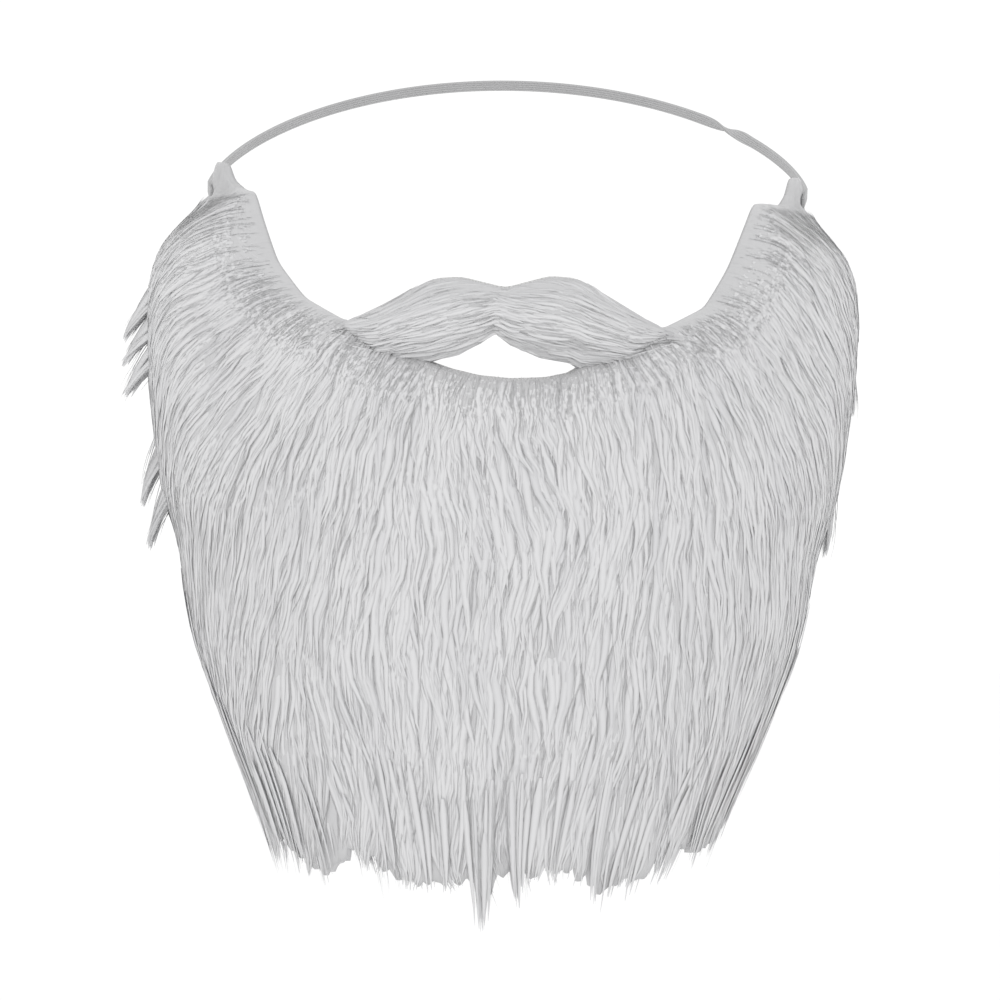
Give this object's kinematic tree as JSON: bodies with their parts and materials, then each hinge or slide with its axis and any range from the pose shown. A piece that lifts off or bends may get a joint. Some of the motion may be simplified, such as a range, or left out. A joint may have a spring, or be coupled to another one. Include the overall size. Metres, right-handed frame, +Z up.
{
  "type": "fake beard with moustache",
  "caption": "Costume beard and moustache of long white pile on a knitted backing with ear tabs, held round the head by a narrow elastic.",
  "frame": {"origin": "middle of the head between the ears, level with the ear tabs, where the wearer's head holds the beard", "axes": "+Z up, the beard faces -Y, the wearer's left ear is at +X"},
  "size_m": [0.2214, 0.2257, 0.2531],
  "materials": {
    "pile": "long soft pile, matte with a faint sheen",
    "backing": "knitted, matte",
    "elastic": "flat ribbed elastic, matte"
  },
  "bodies": {
    "root": {"backing_cloth": "backing", "beard_fur": "pile", "moustache_fur": "pile", "elastic_strap": "elastic"}
  },
  "joints": []
}
